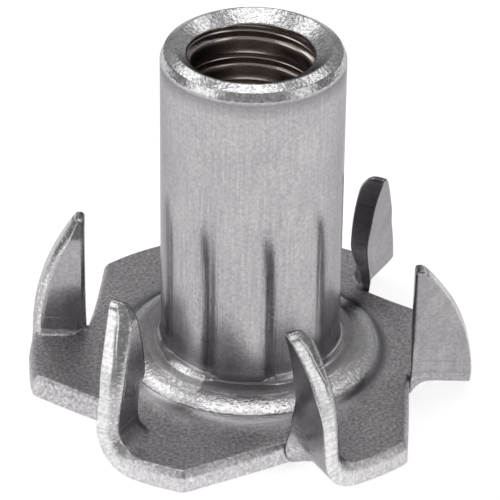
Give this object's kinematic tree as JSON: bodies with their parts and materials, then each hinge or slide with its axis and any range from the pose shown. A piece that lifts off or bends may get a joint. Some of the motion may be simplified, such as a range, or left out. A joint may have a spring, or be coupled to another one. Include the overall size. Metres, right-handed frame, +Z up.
{
  "type": "tee nut",
  "caption": "Steel tee nut: a threaded barrel drawn up from a pinwheel flange, whose hooked prongs bite into wood and stop the nut from turning",
  "frame": {"origin": "centre of the flange's flat underside, on the barrel's axis", "axes": "+Z runs up the barrel to its mouth; +X lies along one prong's bend line direction, and the prongs stand on the clockwise side of the bend lines seen from above"},
  "size_m": [0.019, 0.0184, 0.016],
  "materials": {
    "steel": "bright zinc-plated steel sheet, satin, with shiny rolled edges"
  },
  "bodies": {
    "root": {"tee_nut": "steel"}
  },
  "joints": []
}
